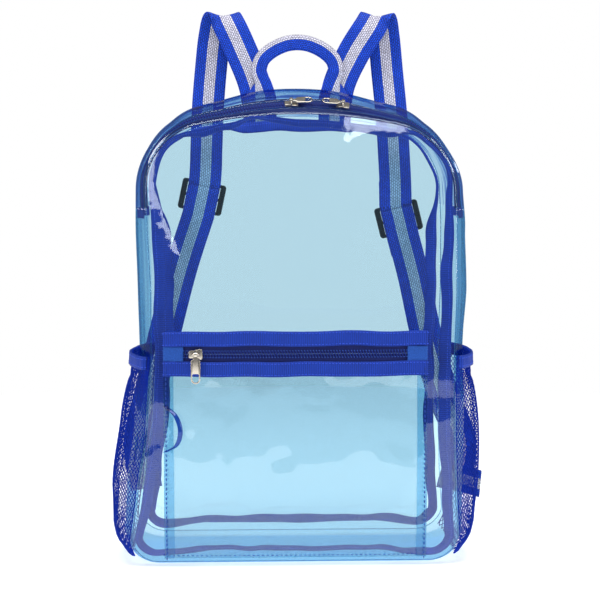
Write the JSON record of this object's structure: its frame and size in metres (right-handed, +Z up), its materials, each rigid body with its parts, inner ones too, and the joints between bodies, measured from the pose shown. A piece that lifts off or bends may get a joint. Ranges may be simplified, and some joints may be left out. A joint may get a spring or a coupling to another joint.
{
  "type": "clear stadium backpack",
  "caption": "Clear blue-tinted backpack with bound seams, arched top zip, zipped front pocket, net side pockets, haul handle and striped webbing straps.",
  "frame": {"origin": "middle of the base on the surface the bag stands on", "axes": "+Z up, -Y out of the front pocket, +X to the right as seen from the front"},
  "size_m": [0.3482, 0.1662, 0.507],
  "materials": {
    "clear_sheet": "clear blue-tinted flexible PVC sheet, high gloss",
    "binding_tape": "ribbed royal blue polyester binding tape",
    "zip_tape": "navy woven zip tape with a nylon coil",
    "zip_metal": "nickel-plated die-cast zinc, slightly warm",
    "webbing": "royal blue polypropylene webbing with a pale grey stripe",
    "net": "royal blue polyester net",
    "buckle": "moulded black acetal"
  },
  "bodies": {
    "bag": {"front_panel": "clear_sheet", "back_panel": "clear_sheet", "lower_gusset": "clear_sheet", "zip_gusset_front": "clear_sheet", "zip_gusset_rear": "clear_sheet", "main_zip_tape_front": "zip_tape", "main_zip_tape_rear": "zip_tape", "main_zip_chain": "zip_tape", "zip_end_binding_left": "binding_tape", "zip_end_binding_right": "binding_tape", "front_binding": "binding_tape", "back_binding": "binding_tape", "pocket_panel": "clear_sheet", "pocket_zip_tape_upper": "zip_tape", "pocket_zip_tape_lower": "zip_tape", "pocket_zip_chain": "zip_tape", "pocket_upper_binding": "binding_tape", "pocket_lower_binding": "binding_tape", "pocket_zip_tab_left": "binding_tape", "pocket_zip_tab_right": "binding_tape", "pocket_slider": "zip_metal", "main_slider_left": "zip_metal", "main_slider_right": "zip_metal", "mesh_pocket_left": "net", "mesh_binding_left": "binding_tape", "mesh_pocket_right": "net", "mesh_binding_right": "binding_tape", "haul_handle": "webbing", "shoulder_strap_left": "webbing", "ladder_lock_left": "buckle", "lower_strap_left": "webbing", "shoulder_strap_right": "webbing", "ladder_lock_right": "buckle", "lower_strap_right": "webbing"},
    "pocket_pull": {"pocket_pull": "zip_metal"},
    "main_pull_left": {"main_pull_left": "zip_metal"},
    "main_pull_right": {"main_pull_right": "zip_metal"}
  },
  "joints": [
    {"name": "pocket_pull_hinge", "type": "hinge", "parent": "bag", "child": "pocket_pull", "pos_m": [-0.097, -0.07475, 0.1935], "axis": [-1, 0, 0], "range_deg": [0, 165]},
    {"name": "main_pull_left_hinge", "type": "hinge", "parent": "bag", "child": "main_pull_left", "pos_m": [-0.0113, -0.05089, 0.41838], "axis": [0.015, -0.8172, -0.5762], "range_deg": [0, 165]},
    {"name": "main_pull_right_hinge", "type": "hinge", "parent": "bag", "child": "main_pull_right", "pos_m": [0.03489, -0.05082, 0.41681], "axis": [0.0445, 0.8293, 0.557], "range_deg": [0, 165]}
  ]
}
